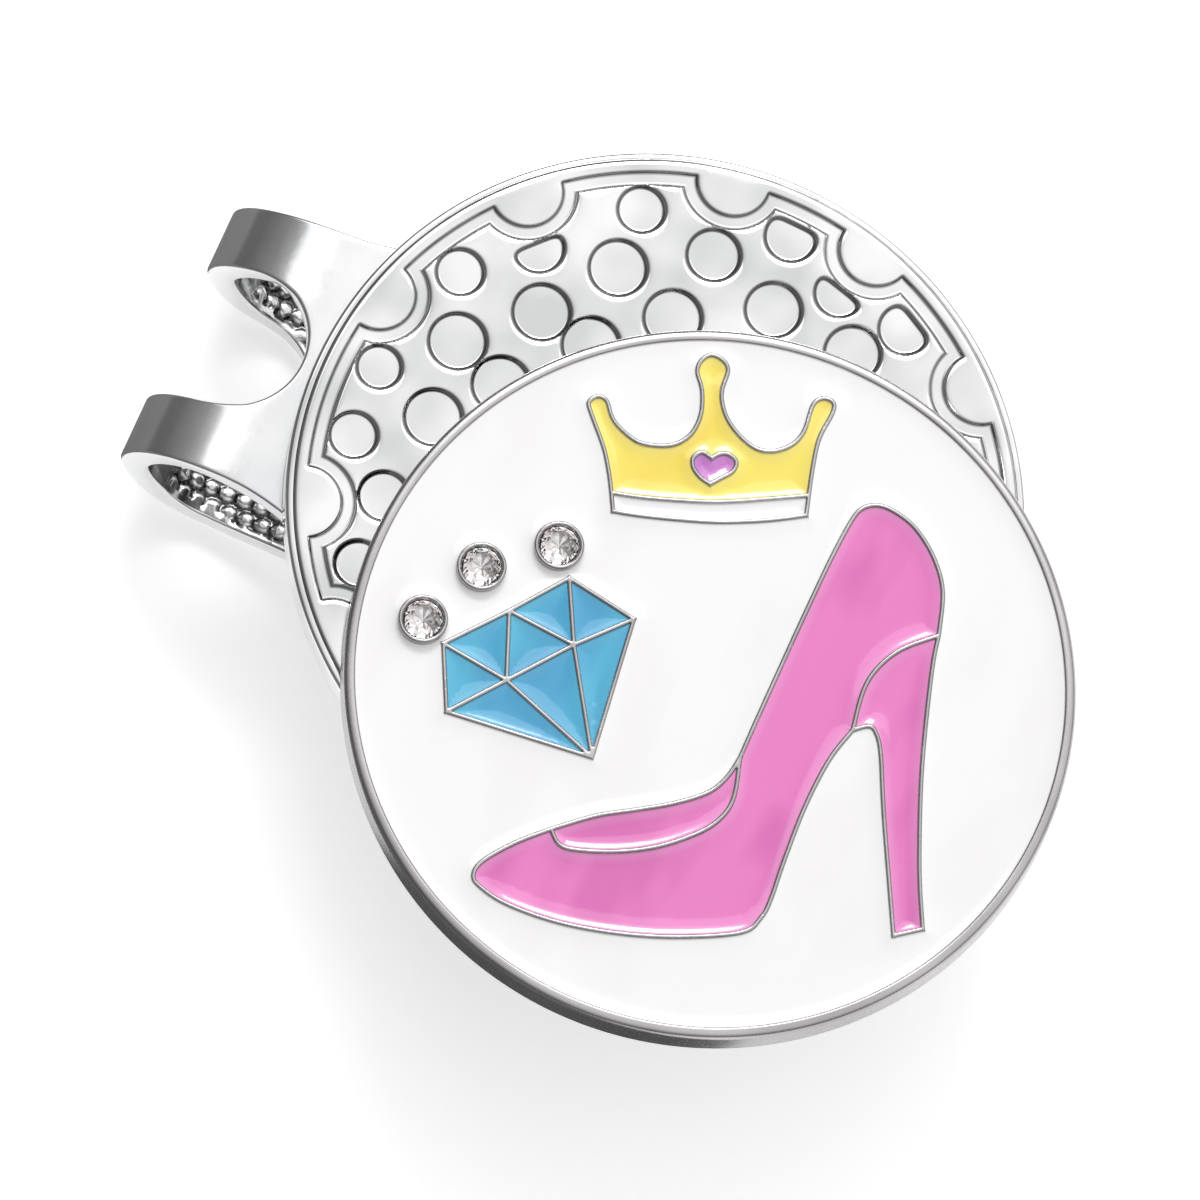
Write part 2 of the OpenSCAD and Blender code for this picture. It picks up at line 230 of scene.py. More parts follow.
def fan(loop, d):
    """Points at distance d round each corner that juts into the face."""
    ahead = np.roll(loop, -1, 0) - loop
    heading = np.arctan2(ahead[:, 1], ahead[:, 0])
    turn = (heading - np.roll(heading, 1) + math.pi) % (2 * math.pi) - math.pi
    points = [loop[:0]]
    for i in np.flatnonzero(turn < -CORNER / 2):
        bearing = heading[i] + math.pi / 2 - turn[i] * np.linspace(0, 1, 5)
        points.append(loop[i] + d * np.column_stack([np.cos(bearing), np.sin(bearing)]))
    return np.vstack(points)


def patch(loops, rings, pitch, shore=None, ring_loops=None, more=()):
    """Triangulates what lies to the left of the loops: points, triangles and distances to the edge.

    Rings of points follow the edges at the given distances, and a lattice fills the rest. Each entry of
    more is a finer lattice, as (pitch, low corner, high corner)."""
    border = np.vstack(loops)
    first = np.cumsum([0] + [len(loop) for loop in loops])
    border_edges = [(s + i, s + (i + 1) % len(loop))
                    for s, loop in zip(first, loops) for i in range(len(loop))]
    shore = shore or Shore(loops)
    inner = []
    for loop in ring_loops or loops:
        for d in rings:
            points = np.vstack([loop + inward(loop) * d, fan(loop, d)])
            inner.append(points[np.abs(shore.distance(points) - d) < 0.12 * d])
    for fine, low, high in [(pitch, border.min(0), border.max(0)), *more]:
        points = lattice(low, high, fine)
        inner.append(points[shore.distance(points) > max(rings, default=0) + 0.3 * fine])
    given = np.vstack([border, *inner])
    out = geometry.delaunay_2d_cdt([Vector(p) for p in given], border_edges, [], 0, 1e-5)
    points = np.array([tuple(p) for p in out[0]])
    fenced = set()
    for (u, v), sources in zip(out[1], out[4]):
        if sources:
            a, b = border_edges[sources[0]]
            ahead = np.dot(border[b] - border[a], points[v] - points[u]) > 0
            fenced.add((u, v) if ahead else (v, u))
    owner = {}
    for f, face in enumerate(out[2]):
        for edge in zip(face, face[1:] + face[:1]):
            owner[edge] = f
    inside = {owner[e] for e in fenced if e in owner}
    todo = list(inside)
    while todo:
        face = out[2][todo.pop()]
        for a, b in zip(face, face[1:] + face[:1]):
            other = owner.get((b, a))
            if (a, b) not in fenced and (b, a) not in fenced and other is not None and other not in inside:
                inside.add(other)
                todo.append(other)
    faces = np.array([out[2][f] for f in sorted(inside)])
    used, faces = np.unique(faces, return_inverse=True)
    distance = shore.distance(points[used])
    distance[distance < ON_EDGE] = 0
    return points[used], faces.reshape(-1, 3).tolist(), distance


def rounding(d, r):
    """How far a rounded edge of radius r has dropped at distance d from it."""
    x = np.clip(1 - d / r, 0, 1)
    return r * (1 - np.sqrt(1 - x * x))


# ---- Pieces

WELD_MM = 0.0004
NO_CREASE = 9.0  # an edge_mm that is past every edge effect of the materials


class Shell:
    """Vertices and faces gathered from several surfaces. new_piece() welds them.

    A vertex's depth is its distance from the nearest outline, kept as edge_mm for the materials."""

    def __init__(self):
        self.verts, self.faces, self.depth = [], [], []

    def add(self, verts, faces, depth=None, flip=False):
        start = len(self.verts)
        self.verts.extend(map(tuple, verts))
        self.depth.extend(np.zeros(len(verts)) if depth is None else depth)
        self.faces.extend(tuple(start + i for i in (face[::-1] if flip else face)) for face in faces)

    def strip(self, lower, upper, flip=False, depth=0.0):
        """Quads between two closed rows of as many points each."""
        n = len(lower)
        faces = [(i, (i + 1) % n, n + (i + 1) % n, n + i) for i in range(n)]
        self.add(np.vstack([lower, upper]), faces, np.full(2 * n, depth), flip)


def new_piece(name, shell, material, sharp_deg=40):
    """A smooth-shaded Blender object from a shell."""
    mesh = bpy.data.meshes.new(name)
    mesh.from_pydata([tuple(c * MM for c in v) for v in shell.verts], [], shell.faces)
    depth = mesh.attributes.new("edge_mm", "FLOAT", "POINT")
    depth.data.foreach_set("value", np.array(shell.depth, np.float32))
    work = bmesh.new()
    work.from_mesh(mesh)
    bmesh.ops.remove_doubles(work, verts=work.verts, dist=WELD_MM * MM)
    bmesh.ops.dissolve_degenerate(work, edges=work.edges, dist=WELD_MM * MM)
    work.to_mesh(mesh)
    work.free()
    mesh.shade_smooth()
    mesh.set_sharp_from_angle(angle=math.radians(sharp_deg))
    mesh.materials.append(material)
    piece = bpy.data.objects.new(name, mesh)
    bpy.context.scene.collection.objects.link(piece)
    return piece


def at_height(points, z):
    """Plan points as places at one height, or each at its own."""
    return np.column_stack([points, np.broadcast_to(z, len(points))])


def add_side(shell, node, up, deck, height, rings, pitch, step, softer=0):
    """Adds the side of a CAD node that looks up (1) or down (-1), and returns its outer loop.

    Faces lower than deck are the floors of hollows. height(level, points, distance) gives the surface,
    counted along the way that the side looks."""
    rims, floors = [], []
    for level, loops in flat_loops(node, up).items():
        loops = [refined(loop, step, softer) for loop in loops]
        points, faces, d = patch(loops, rings, pitch)
        shell.add(at_height(points, height(level, points, d) * up), faces, d, flip=up < 0)
        edges = [at_height(loop, height(level, loop, np.zeros(len(loop)))) for loop in loops]
        (floors if level < deck else rims).extend(edges)
    walls = np.vstack(rims)
    tree = kdtree.KDTree(len(walls))
    for i, p in enumerate(walls):
        tree.insert((p[0], p[1], 0), i)
    tree.balance()
    for low in floors:
        high = low.copy()
        high[:, 2] = [walls[tree.find((p[0], p[1], 0))[1]][2] for p in low]
        shell.strip(low * (1, 1, up), high * (1, 1, up), flip=up > 0)
    return max(rims, key=lambda edge: area(edge[:, :2])) * (1, 1, up)


def add_edge(shell, upper, lower, profile):
    """Joins the outer loops of the two sides of a disc by rings at (radius, height), far from any crease."""
    middle = (upper.min(0) + upper.max(0))[:2] / 2
    outward = upper[:, :2] - middle
    outward /= np.hypot(*outward.T)[:, None]
    rows = [upper, *(at_height(middle + outward * r, z) for r, z in profile), lower]
    for above, below in zip(rows, rows[1:]):
        shell.strip(below, above, depth=NO_CREASE)


# ---- Clip disc

DISC_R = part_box("clip_disc")[1].x / MM
DISC_RINGS = (0.02, 0.045, 0.07, 0.1, 0.15, 0.26, 0.42)
DECK_Z = -0.05  # faces lower than this are floors of hollows
BACK_RIM_Z = 1  # on the back, faces that stand out more than this are the rim
LAND_DROP = 0.14  # how low the plated ground is where a hollow starts
LAND_LIP, FLOOR_LIP = 0.145, 0.09  # how far from there the ground and the hollow's floor still curve
SWELL, SWELL_REACH = 0.035, 0.5  # how far the ground sinks near a hollow, and how slowly that fades
# Rings (radius, height) that round the disc's edge from its face to its side
DISC_EDGE = [(DISC_R - 0.12, -0.13), (DISC_R - 0.06, -0.16), (DISC_R - 0.02, -0.22), (DISC_R, -0.32),
             (DISC_R, -0.6)]


def disc_front(level, points, d):
    """The plated face: hollows with soft lips and rounded floors, and ground that swells between them."""
    if level < DECK_Z:
        return level - (LAND_DROP + level) * np.clip(1 - d / FLOOR_LIP, 0, 1) ** 2
    swell = SWELL * np.exp(-d / SWELL_REACH)
    return level - swell - (LAND_DROP - SWELL) * np.clip(1 - d / LAND_LIP, 0, 1) ** 2


def disc_back(level, points, d):
    """A rim with rounded edges round a flat seat."""
    return level - rounding(d, 0.1) if level > BACK_RIM_Z else level + 0 * d


def build_disc(material):
    shell = Shell()
    upper = add_side(shell, "clip_disc", 1, DECK_Z, disc_front, DISC_RINGS, pitch=0.45, step=0.14, softer=6)
    lower = add_side(shell, "clip_disc", -1, BACK_RIM_Z, disc_back, (0.03, 0.1), pitch=3, step=0.4)
    foot = lower[0][2]
    add_edge(shell, upper, lower, [*DISC_EDGE, (DISC_R, foot + 0.1)])
    piece = new_piece("disc_plated", shell, material)
    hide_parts("clip_disc")
    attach(piece, "clip")


# ---- Marker body

MARK_LOW, MARK_HIGH = (np.array(c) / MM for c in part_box("marker_base"))
MARK_MIDDLE = (MARK_LOW + MARK_HIGH)[:2] / 2
MARK_R = (MARK_HIGH - MARK_LOW)[0] / 2
MARK_RIM_Z = 1.5
MARK_RIM_R = 0.22
MARK_DECK_Z = 1.3  # faces lower than this are floors of enamel beds
CREST = 0.085  # radius of the half-round metal lines
ENAMEL_STEP = 0.1  # between outline points, the same on the metal and on the enamel that meets it


def marker_front(level, points, d):
    """Half-round lines, a rounded rim and collars, and flat bed floors."""
    if level < MARK_DECK_Z:
        return level + 0 * d
    outer = MARK_R - np.hypot(*(points - MARK_MIDDLE).T)
    return level - np.maximum(rounding(d, CREST), rounding(outer, MARK_RIM_R))


def marker_back(level, points, d):
    """A flat back with a rounded edge."""
    return level - rounding(d, 0.15)


def build_marker(material):
    shell = Shell()
    upper = add_side(shell, "marker_base", 1, MARK_DECK_Z, marker_front, (0.02, 0.045, 0.08, 0.14),
                     pitch=0.35, step=ENAMEL_STEP)
    lower = add_side(shell, "marker_base", -1, -0.1, marker_back, (0.03, 0.07, 0.15, 0.3),
                     pitch=1.5, step=0.3)
    add_edge(shell, upper, lower, [(MARK_R, 1.2), (MARK_R, 0.7), (MARK_R, 0.2)])
    piece = new_piece("marker_metal", shell, material)
    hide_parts("marker_base")
    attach(piece, "marker")


# ---- Enamel: poured cells whose surface climbs towards the metal round them

MENISCUS_POWER = 1.3


def build_enamel(node, material, sag, reach, rings, pitch):
    """A cell of enamel, sag deep in the middle, that rises within reach of the metal round it."""
    shell = Shell()
    floor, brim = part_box(node)[0].z / MM, MARK_RIM_Z - CREST
    loops = [refined(loop, ENAMEL_STEP) for found in flat_loops(node).values() for loop in found]
    points, faces, d = patch(loops, rings, pitch)
    hollow = sag * (1 - np.exp(-(d / reach) ** MENISCUS_POWER))
    shell.add(at_height(points, brim - hollow), faces, d)
    points, faces, d = patch(loops, (), 99)
    shell.add(at_height(points, floor), faces, flip=True)
    for loop in loops:
        shell.strip(at_height(loop, floor), at_height(loop, brim))
    piece = new_piece(node.replace("enamel_", "poured_"), shell, material)
    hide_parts(node)
    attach(piece, "marker")


# ---- Spring strip: a flat plan in (x, distance along the strip), bent along its side view

FRONT_LOW, FRONT_HIGH = (np.array(c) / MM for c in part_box("spring_front"))
TONGUE_LOW, TONGUE_HIGH = (np.array(c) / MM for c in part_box("spring_tongue"))
PLATE_TOP = FRONT_HIGH[2]
PLATE_END = FRONT_LOW[1]
FOLD_Y = FRONT_HIGH[1]
GROUND = TONGUE_LOW[2]
LIP_END = TONGUE_LOW[1]
SHEET_T = 0.9
FOLD_MID = (PLATE_TOP + GROUND) / 2 + 0.1
LIP_LAND = 1.5
PINCH_Y = 2.5  # where the tongue comes closest to the plate
NOSE_START = FOLD_Y - 4.6  # where the front face starts to fall towards the fold
NOSE_POWER = 2.05
VOID_BACK = FOLD_Y - 1.05
VOID_START = VOID_BACK - 2.15
VOID_POWER = 1.7
TONGUE_START = FOLD_Y - 3.2
EDGE_R = 0.12
STRAP_W = 4.8  # half the strip's width at the straps
STRAP_FRONT_Y, STRAP_BACK_Y = 15.5, 14.0  # where the edges of the straps become straight
STEP = 0.2  # between points of the strip's outlines
SLOT_R = 2.5
SLOT_FRONT_Y, SLOT_BACK_Y = 15.6, 15.0
SEAM_Y = 11.5  # where the leaf takes over from the fold, on the tongue
BEND_FRONT_Y, BEND_BACK_Y = 13.2, 13.0  # where the tight bend starts and ends
STRIP_RINGS = (0.015, 0.04, 0.07, 0.1, 0.13, 0.3)

# Pads pressed into the inside of the fold
GRIP_DEPTH = 0.11
# edge_mm below 0 marks the pressed grooves, where plated() paints shade
GROOVE_MARK = 99  # how far below 0 edge_mm goes for each millimetre of groove, for plated() to darken
GRIP_FROM_Y, GRIP_TO_Y = 16.3, 6.0
GRIP_HALF_W = 5.4
GRIP_MARGIN = 0.3
GRIP_FADE = 0.8
PAD_STEP_X, PAD_STEP_S = 0.62, 0.66
PAD_HALF_X, PAD_HALF_S = 0.24, 0.27
PAD_REACH, PAD_SLOPE = 1.35, 0.6  # in pad half sizes: where a pad ends, and how wide its flank is


def quarter(centre_y, a, b, power, share):
    """A quarter ellipse about the fold's middle height with half axes a and b, pointed if power is under 2."""
    t = share * math.pi / 2
    along, above = a * np.sin(t) ** (2 / power), b * np.cos(t) ** (2 / power)
    return np.column_stack([centre_y + along, FOLD_MID + above])


def arch(y):
    """Height of the tongue's underside."""
    top = TONGUE_HIGH[2] - SHEET_T - GROUND
    lip = LIP_END + LIP_LAND
    down = np.where(y > PINCH_Y, (TONGUE_START - y) / (TONGUE_START - PINCH_Y), (y - lip) / (PINCH_Y - lip))
    return GROUND + top * (1 - np.cos(math.pi * np.clip(down, 0, 1))) / 2


def side_view():
    """Matching points on the strip's outer and inner faces, from the plate's end to the lip."""
    share = np.linspace(0, 1, 121)
    flat = np.linspace(0, 1, 60)
    under = PLATE_TOP - SHEET_T
    y = np.linspace(TONGUE_START, LIP_END, 400)[1:]
    tongue = np.column_stack([y, arch(y)])
    slope = np.gradient(tongue[:, 1], tongue[:, 0])
    up = np.column_stack([-slope, np.ones(len(y))]) / np.hypot(slope, 1)[:, None]
    # The front face starts to fall before the hollow inside begins, and both are cut at the same places
    nose = FOLD_Y - NOSE_START
    straight = PLATE_END + (VOID_START - PLATE_END) * flat
    fallen = np.clip((straight - NOSE_START) / nose, 0, 1) ** NOSE_POWER
    front = FOLD_MID + (PLATE_TOP - FOLD_MID) * (1 - fallen) ** (1 / NOSE_POWER)
    begun = math.asin(((VOID_START - NOSE_START) / nose) ** (NOSE_POWER / 2)) / (math.pi / 2)
    outer = [np.column_stack([straight, front]),
             quarter(NOSE_START, nose, PLATE_TOP - FOLD_MID, NOSE_POWER, begun + (1 - begun) * share)[1:],
             quarter(TONGUE_START, FOLD_Y - TONGUE_START, GROUND - FOLD_MID, 2, share[::-1])[1:], tongue]
    inner = [np.column_stack([straight, 0 * flat + under]),
             quarter(VOID_START, VOID_BACK - VOID_START, under - FOLD_MID, VOID_POWER, share)[1:],
             quarter(TONGUE_START, VOID_BACK - TONGUE_START, GROUND + SHEET_T - FOLD_MID, VOID_POWER,
                     share[::-1])[1:],
             tongue + SHEET_T * up]
    return np.vstack(outer), np.vstack(inner)


OUTER, INNER = side_view()
MIDLINE = (OUTER + INNER) / 2
ALONG = np.concatenate([[0], np.cumsum(np.hypot(*np.diff(MIDLINE, axis=0).T))])
TIP = int(np.argmax(MIDLINE[:, 0]))


def along_front(y):
    """Distance along the strip to a place on its front half."""
    return np.interp(y, MIDLINE[:TIP + 1, 0], ALONG[:TIP + 1])


def along_tongue(y):
    """Distance along the strip to a place on its tongue."""
    return np.interp(-np.asarray(y), -MIDLINE[TIP:, 0], ALONG[TIP:])


def bent(points, outwards):
    """Places of plan points (x, along) at a share of the thickness: 1 is the outer face, -1 the inner."""
    x, s = points.T
    (oy, oz), (iy, iz) = [[np.interp(s, ALONG, line[:, i]) for i in (0, 1)] for line in (OUTER, INNER)]
    share = (outwards + 1) / 2
    return np.column_stack([x, iy + (oy - iy) * share, iz + (oz - iz) * share])


def smooth_through(points):
    """A smooth open curve through points, as Catmull and Rom draw it."""
    p = np.vstack([points[0], points, points[-1]]).astype(float)
    curve = []
    for a, b, c, d in zip(p, p[1:], p[2:], p[3:]):
        n = max(1, math.ceil(np.hypot(*(c - b)) / STEP))
        for t in np.arange(n) / n:
            curve.append(0.5 * (2 * b + (c - a) * t + (2 * a - 5 * b + 4 * c - d) * t ** 2
                                + (3 * b - a - 3 * c + d) * t ** 3))
    return np.array([*curve, p[-1]])


def strip_edge():
    """The strip's right-hand edge as (x, along), from the plate's end to the lip."""
    front = smooth_through([(3.5, PLATE_END), (5.5, -6.5), (6, -4), (6, 5), (5.9, 8.5), (STRAP_W + 0.5, 11),
                            (STRAP_W + 0.1, 13), (STRAP_W, STRAP_FRONT_Y)])
    back = smooth_through([(STRAP_W, STRAP_BACK_Y), (5, 11), (5.7, 7), (6.1, 2), (6, -3), (5.2, -7),
                           (4.3, -8.6), (3, LIP_END)])
    middle = np.arange(along_front(STRAP_FRONT_Y) + STEP, along_tongue(STRAP_BACK_Y) - STEP / 2, STEP)
    return np.vstack([np.column_stack([front[:, 0], along_front(front[:, 1])]),
                      np.column_stack([0 * middle + STRAP_W, middle]),
                      np.column_stack([back[:, 0], along_tongue(back[:, 1])])])


def slot_outline():
    """The slot between the straps as a loop with the metal on its left."""
    t = np.linspace(0, math.pi, 49)
    x, dip = SLOT_R * np.cos(t), SLOT_R * np.sin(t)
    front = np.column_stack([x, along_front(SLOT_FRONT_Y - dip)])
    back = np.column_stack([-x, along_tongue(SLOT_BACK_Y - dip)])
    run = np.arange(STEP, back[0, 1] - front[-1, 1] - STEP / 2, STEP)[:, None]
    down = [-SLOT_R, front[-1, 1]] + run * (0, 1)
    up = [SLOT_R, back[-1, 1]] - run * (0, 1)
    return np.vstack([front, down, back, up])


def grip(points):
    """Depth of the pressed pattern inside the fold: rows of oval pads with grooves between them."""
    x, s = points.T
    start, end = along_tongue(GRIP_FROM_Y), along_tongue(GRIP_TO_Y)
    row = np.round(x / PAD_STEP_X)
    u = (x - row * PAD_STEP_X) / PAD_HALF_X
    v = (((s - start) / PAD_STEP_S + 0.5 * (row % 2)) % 1 - 0.5) * PAD_STEP_S / PAD_HALF_S
    pad = np.clip(PAD_REACH - np.sqrt(u * u + v * v), 0, PAD_SLOPE) / PAD_SLOPE
    pad = pad * pad * (3 - 2 * pad)
    fade = np.clip((s - start) / GRIP_FADE, 0, 1) * np.clip((end - s) / GRIP_FADE, 0, 1)
    margin = np.clip((GRIP_HALF_W - np.abs(x)) / GRIP_MARGIN, 0, 1)
    return GRIP_DEPTH * (1 - pad) * fade * margin


def cut(loop, seam, keep_after):
    """A loop's stretch on one side of the seam, which runs across the strip."""
    side = loop[:, 1] > seam if keep_after else loop[:, 1] < seam
    start = int(np.flatnonzero(side & ~np.roll(side, 1))[0])
    rolled, side = np.roll(loop, -start, 0), np.roll(side, -start)
    return rolled[side]


def build_strip(name, node, keep_after, material, edge, slot):
    """One of the strip's two pieces, before or after the seam. Returns it, for the caller to place on bodies.

    Finer lattices fill the pressed pattern and the tight bend at the fold."""
    seam = float(along_tongue(SEAM_Y))
    whole = np.vstack([edge, edge[::-1] * (-1, 1)])
    shore = Shore([whole, slot])
    half = float(np.interp(seam, edge[:, 1], edge[:, 0]))
    reach = np.concatenate([[0, 0.03, 0.08, 0.16], np.linspace(0.4, half - 0.01, 16)])
    across = np.concatenate([half - reach, -(half - reach)[::-1]])
    across = np.unique(np.round(across, 5))
    kept = cut(whole, seam, keep_after)
    line = np.column_stack([across, 0 * across + seam])
    outline = np.vstack([kept, line if keep_after else line[::-1]])
    loops = [outline] if keep_after else [outline, slot]
    side = GRIP_HALF_W - 0.1
    pattern = (0.11, (-side, along_tongue(GRIP_FROM_Y + 0.1)), (side, along_tongue(GRIP_TO_Y - 0.1)))
    bend = (0.22, (-side, along_front(BEND_FRONT_Y)), (side, along_tongue(BEND_BACK_Y)))
    shell = Shell()

    def pressed(face, points, d):
        return np.where((d > STRIP_RINGS[-1]) & (face < 0), grip(points), 0)

    def surface(face, points, d):
        worn = rounding(d, EDGE_R) + pressed(face, points, d)
        return bent(points, face * (1 - worn / (SHEET_T / 2)))

    for face, more in ((1, [] if keep_after else [bend]), (-1, [pattern])):
        points, faces, d = patch(loops, STRIP_RINGS, 0.45, shore, [whole, slot], more)
        # the grooves' edge_mm below 0 lets plated() paint shade into them
        shell.add(surface(face, points, d), faces, d - pressed(face, points, d) * GROOVE_MARK, flip=face < 0)
    for loop in loops:
        d = shore.distance(loop)
        d[d < ON_EDGE] = 0
        shell.strip(surface(-1, loop, d), surface(1, loop, d))
    piece = new_piece(name, shell, material)
    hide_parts(node)
    return piece


# ---- Crystals: brilliant cut, with a foiled back

def build_crystal(node, glass, foil):
    """A cut stone in glass down to its girdle, with foil on the facets below."""
    low, high = (np.array(c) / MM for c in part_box(node))
    middle, r, tall = (low + high) / 2, (high - low)[0] / 2, high[2] - low[2]
    girdle, table = low[2] + 0.66 * tall, high[2]
    crown, culet = table - 0.45 * (table - girdle), girdle - 0.16

    def ring(count, radius, z, turn=0.0):
        t = (np.arange(count) + turn) / count * 2 * math.pi
        return at_height(middle[:2] + radius * np.column_stack([np.cos(t), np.sin(t)]), z)

    rows = [ring(8, 0.5 * r, table), ring(8, 0.78 * r, crown, 0.5),
            ring(16, r, girdle + 0.04), ring(16, r, girdle), ring(8, 0.55 * r, girdle - 0.1, 0.5),
            np.array([[middle[0], middle[1], culet]])]
    # First vertices of the table, crown, girdle top, girdle bottom and pavilion, and the culet
    t, c, g, b, p, tip = np.cumsum([0] + [len(row) for row in rows])[:6]
    faces = [tuple(t + i for i in range(8))]
    for i in range(8):
        j, k = (i + 1) % 8, (i - 1) % 8
        faces += [(t + i, c + i, t + j), (t + i, c + k, g + 2 * i, c + i),
                  (c + i, g + 2 * i, g + 2 * i + 1), (c + i, g + 2 * i + 1, g + (2 * i + 2) % 16)]
        faces += [(b + 2 * i, p + i, b + 2 * i + 1), (b + 2 * i + 1, p + i, b + (2 * i + 2) % 16),
                  (b + 2 * i, p + k, tip, p + i)]
    faces += [(g + i, b + i, b + (i + 1) % 16, g + (i + 1) % 16) for i in range(16)]
    shell = Shell()
    shell.add(np.vstack(rows), faces)
    piece = new_piece(node + "_cut", shell, glass, sharp_deg=5)
    piece.data.materials.append(foil)
    for face in piece.data.polygons:
        face.use_smooth = False
        if face.center.z / MM < girdle - 0.01:
            face.material_index = 1
    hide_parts(node)
    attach(piece, "marker")


# ---- Materials

WAVE_MM = 0.012  # how far plating and enamel rise and fall


def set_stops(ramp, stops):
    """Gives a ramp node its stops, as (position, colour)."""
    points = ramp.color_ramp.elements
    while len(points) < len(stops):
        points.new(0.5)
    for point, (position, colour) in zip(points, stops):
        point.position, point.color = position, (*colour, 1)


class Look:
    """A Principled material, with short calls for the nodes that feed it. Textures count in millimetres."""

    def __init__(self, name, **settings):
        self.material = bpy.data.materials.new(name)
        self.material.use_nodes = True
        self.tree = self.material.node_tree
        self.shader = self.tree.nodes["Principled BSDF"]
        for socket, value in settings.items():
            self.shader.inputs[socket.replace("_", " ")].default_value = value
        place = self.tree.nodes.new("ShaderNodeTexCoord")
        self.place = self.node("ShaderNodeVectorMath", operation="SCALE", Vector=place.outputs["Object"],
                               Scale=1 / MM).outputs["Vector"]

    def node(self, kind, **settings):
        made = self.tree.nodes.new(kind)
        for key, value in settings.items():
            if hasattr(made, key) and key not in made.inputs:
                setattr(made, key, value)
            else:
                self.feed(made.inputs[key.replace("_", " ")], value)
        return made

    def feed(self, socket, value):
        if isinstance(value, bpy.types.NodeSocket):
            self.tree.links.new(value, socket)
        else:
            socket.default_value = value

    def noise(self, per_mm, detail=3.0, stretch=(1, 1, 1), twist=0.0):
        """Noise of a size, stretched along the axes and turned about Z."""
        turned = self.node("ShaderNodeMapping", Vector=self.place, Scale=stretch, Rotation=(0, 0, twist))
        return self.node("ShaderNodeTexNoise", Vector=turned.outputs["Vector"], Scale=per_mm,
                         Detail=detail).outputs["Fac"]

    def spread(self, value, low, high, to_low, to_high):
        """Maps low to to_low and high to to_high, and stays there beyond."""
        made = self.node("ShaderNodeMapRange")
        self.feed(made.inputs["Value"], value)
        for socket, number in zip(("From Min", "From Max", "To Min", "To Max"), (low, high, to_low, to_high)):
            made.inputs[socket].default_value = number
        return made.outputs["Result"]

    def ramp(self, value, *stops):
        made = self.node("ShaderNodeValToRGB", Fac=value)
        set_stops(made, stops)
        return made.outputs["Color"]

    def blend(self, share, a, b):
        """Colour a where share is 0, and colour b where it is 1."""
        made = self.tree.nodes.new("ShaderNodeMix")
        made.data_type = "RGBA"
        factor, first, second = made.inputs[0], made.inputs[6], made.inputs[7]
        self.feed(factor, share)
        for socket, value in ((first, a), (second, b)):
            self.feed(socket, value if isinstance(value, bpy.types.NodeSocket) else (*value, 1))
        return made.outputs[2]

    def math(self, operation, a, b):
        made = self.node("ShaderNodeMath", operation=operation)
        self.feed(made.inputs[0], a)
        self.feed(made.inputs[1], b)
        return made.outputs[0]

    def bump(self, height, strength, distance_mm):
        made = self.node("ShaderNodeBump", Strength=strength, Distance=distance_mm * MM, Height=height)
        self.feed(self.shader.inputs["Normal"], made.outputs["Normal"])

    def edge(self):
        """Distance to the piece's nearest edge, in millimetres."""
        return self.node("ShaderNodeAttribute", attribute_name="edge_mm").outputs["Fac"]


def linear(r, g, b):
    """A colour given as it looks on a screen, 0 to 255."""
    shares = (r / 255, g / 255, b / 255)
    return tuple(c / 12.92 if c <= 0.04045 else ((c + 0.055) / 1.055) ** 2.4 for c in shares)


def plated(name, light, dark, rough, groove_shade=0.0, crease_shade=0.0):
    """Bright plating: faint clouds in the tint, fine scratches, and a surface that is never quite flat.

    Painted shade darkens pressed grooves, where edge_mm is below 0, and a painted dark line stands in for
    shade and dark reflections along creases, where it is 0."""
    look = Look(name, Metallic=1.0)
    clouds = look.ramp(look.noise(0.25, 2.0), (0.35, dark), (0.65, light))
    # painted shade: a dark line along creases and darkening in pressed grooves, in place of shade and dark
    # reflections
    painted_shade = look.math("MAXIMUM", look.spread(look.edge(), -6.0, -1.0, groove_shade, 0.0),
                        look.spread(look.edge(), 0.0, 0.08, crease_shade, 0.0))
    look.feed(look.shader.inputs["Base Color"], look.blend(painted_shade, clouds, (0.05, 0.05, 0.05)))
    scratches = look.noise(6.0, 4.0, (1, 12, 1), 0.5)
    look.feed(look.shader.inputs["Roughness"], look.spread(scratches, 0.35, 0.75, rough * 0.75, rough * 1.5))
    ripple = look.math("ADD", look.noise(0.8, 1.0), look.math("MULTIPLY", scratches, 0.006))
    look.bump(ripple, 0.5, WAVE_MM)
    return look.material


def enamel(name, base, deep, pale, veil=0.35):
    """Glossy poured enamel: paler where it climbs the metal, deeper in tone in drifts."""
    look = Look(name, Roughness=0.16, IOR=1.52, Coat_Weight=1.0, Coat_Roughness=0.04, Coat_IOR=1.5)
    drift = look.noise(0.16, 2.0, (1, 2.2, 1), 0.7)
    tone = look.ramp(drift, (0.38, deep), (0.52, base), (0.7, base))
    near = look.spread(look.edge(), 0.0, 0.34, veil, 0.0)
    look.feed(look.shader.inputs["Base Color"], look.blend(near, tone, pale))
    look.bump(look.noise(0.7, 1.0), 0.4, WAVE_MM)
    return look.material


def clear_cut(name):
    """Clear glass with a trace of tint."""
    look = Look(name, Transmission_Weight=1.0, IOR=1.56, Roughness=0.0)
    specks = look.noise(4.0, 2.0)
    tint = look.ramp(specks, (0.4, (0.93, 0.93, 0.95)), (0.6, (1, 1, 1)))
    look.feed(look.shader.inputs["Base Color"], tint)
    return look.material


def foiled(name):
    """The mirror foil behind a stone."""
    look = Look(name, Metallic=1.0)
    specks = look.noise(5.0, 2.0)
    tint = look.ramp(specks, (0.35, (0.86, 0.82, 0.81)), (0.65, (0.97, 0.95, 0.95)))
    look.feed(look.shader.inputs["Base Color"], tint)
    look.feed(look.shader.inputs["Roughness"], look.spread(specks, 0.3, 0.7, 0.02, 0.06))
    return look.material


